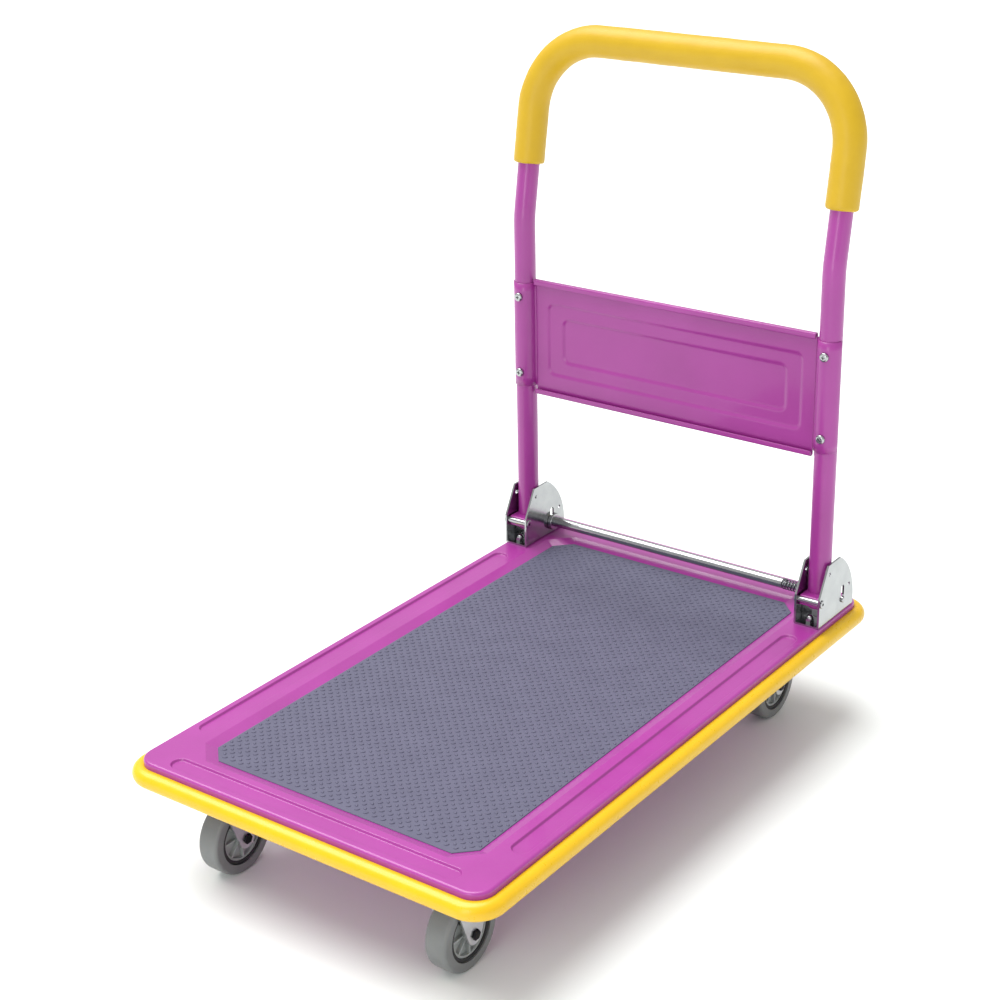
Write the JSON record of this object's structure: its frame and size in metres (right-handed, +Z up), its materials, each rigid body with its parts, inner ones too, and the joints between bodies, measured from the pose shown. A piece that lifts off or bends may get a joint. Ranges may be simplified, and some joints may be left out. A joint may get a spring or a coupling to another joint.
{
  "type": "folding platform cart",
  "caption": "Flat platform cart with a pressed steel deck, corner-wrapping bumper, casters and a push handle that folds flat over the deck.",
  "frame": {"origin": "on the floor under the middle of the deck", "axes": "+X across the cart, -Y towards the front end, +Y towards the handle end, +Z up"},
  "size_m": [0.5088, 0.8454, 0.8498],
  "materials": {
    "purple_paint": "gloss powder coat",
    "mat_rubber": "matt, raised lozenge texture",
    "yellow_pvc": "smooth soft plastic strip",
    "yellow_grip": "smooth foam with a closed skin",
    "bright_plate": "bright plated steel",
    "zinc_plate": "bright zinc plate",
    "spring_steel": "plated spring wire",
    "black_steel": "black oxide",
    "grey_tyre": "moulded thermoplastic rubber",
    "black_plastic": "moulded",
    "grey_plastic": "moulded polypropylene"
  },
  "bodies": {
    "root": {"deck_plate": "purple_paint", "deck_mat": "mat_rubber", "bumper_strip": "yellow_pvc", "cross_channel_front": "purple_paint", "cross_channel_middle": "purple_paint", "cross_channel_rear": "purple_paint", "hinge_bracket_left": "bright_plate", "hinge_bracket_right": "bright_plate", "bracket_bolts": "zinc_plate", "bracket_cap_nuts": "bright_plate", "pivot_rivets": "bright_plate", "rigid_fork_left": "zinc_plate", "rigid_fork_right": "zinc_plate", "swivel_plate_left": "zinc_plate", "swivel_plate_right": "zinc_plate", "kingpin_left": "zinc_plate", "kingpin_right": "zinc_plate", "swivel_balls": "zinc_plate", "caster_bolts": "zinc_plate", "caster_nuts": "zinc_plate", "axle_bolt_front_left": "black_steel", "axle_bolt_front_right": "black_steel", "axle_nut_front_left": "black_steel", "axle_nut_front_right": "black_steel"},
    "handle": {"handle_tube": "purple_paint", "handle_grip": "yellow_grip", "back_panel": "purple_paint", "panel_screws": "bright_plate", "pivot_sleeve_left": "bright_plate", "pivot_sleeve_right": "bright_plate", "pivot_saddle_left": "purple_paint", "pivot_saddle_right": "purple_paint", "tube_feet": "zinc_plate"},
    "rod_carrier": {"rod_washer": "bright_plate", "rod_spring": "spring_steel"},
    "release_rod": {"release_rod": "bright_plate", "rod_collar": "bright_plate"},
    "swivel_left": {"swivel_fork_left": "zinc_plate", "axle_bolt_rear_left": "black_steel", "axle_nut_rear_left": "black_steel"},
    "swivel_right": {"swivel_fork_right": "zinc_plate", "axle_bolt_rear_right": "black_steel", "axle_nut_rear_right": "black_steel"},
    "wheel_front_left": {"tyre_front_left": "grey_tyre", "wheel_ring_front_left": "black_plastic", "wheel_core_front_left": "grey_plastic", "wheel_bush_front_left": "zinc_plate"},
    "wheel_front_right": {"tyre_front_right": "grey_tyre", "wheel_ring_front_right": "black_plastic", "wheel_core_front_right": "grey_plastic", "wheel_bush_front_right": "zinc_plate"},
    "wheel_rear_left": {"tyre_rear_left": "grey_tyre", "wheel_ring_rear_left": "black_plastic", "wheel_core_rear_left": "grey_plastic", "wheel_bush_rear_left": "zinc_plate"},
    "wheel_rear_right": {"tyre_rear_right": "grey_tyre", "wheel_ring_rear_right": "black_plastic", "wheel_core_rear_right": "grey_plastic", "wheel_bush_rear_right": "zinc_plate"}
  },
  "joints": [
    {"name": "handle_fold", "type": "hinge", "parent": "root", "child": "handle", "pos_m": [0, 0.3, 0.1835], "axis": [1, 0, 0], "range_deg": [0, 90]},
    {"name": "rod_lift", "type": "slide", "parent": "root", "child": "rod_carrier", "axis": [0, 0, 1], "range_m": [0, 0.016]},
    {"name": "rod_shift", "type": "slide", "parent": "rod_carrier", "child": "release_rod", "axis": [1, 0, 0], "range_m": [0, 0.008], "stiffness_N_per_m": 400, "springref_m": -0.01, "deforming": ["rod_spring"]},
    {"name": "swivel_turn_left", "type": "hinge", "parent": "root", "child": "swivel_left", "pos_m": [-0.1613, 0.3401, 0.1], "axis": [0, 0, 1], "continuous": true},
    {"name": "swivel_turn_right", "type": "hinge", "parent": "root", "child": "swivel_right", "pos_m": [0.1613, 0.3401, 0.1], "axis": [0, 0, 1], "continuous": true},
    {"name": "wheel_spin_front_left", "type": "hinge", "parent": "root", "child": "wheel_front_left", "pos_m": [-0.1613, -0.3408, 0.0455], "axis": [1, 0, 0], "continuous": true},
    {"name": "wheel_spin_front_right", "type": "hinge", "parent": "root", "child": "wheel_front_right", "pos_m": [0.1613, -0.3408, 0.0455], "axis": [1, 0, 0], "continuous": true},
    {"name": "wheel_spin_rear_left", "type": "hinge", "parent": "swivel_left", "child": "wheel_rear_left", "pos_m": [-0.1613, 0.3141, 0.0455], "axis": [1, 0, 0], "continuous": true},
    {"name": "wheel_spin_rear_right", "type": "hinge", "parent": "swivel_right", "child": "wheel_rear_right", "pos_m": [0.1613, 0.3141, 0.0455], "axis": [1, 0, 0], "continuous": true}
  ]
}
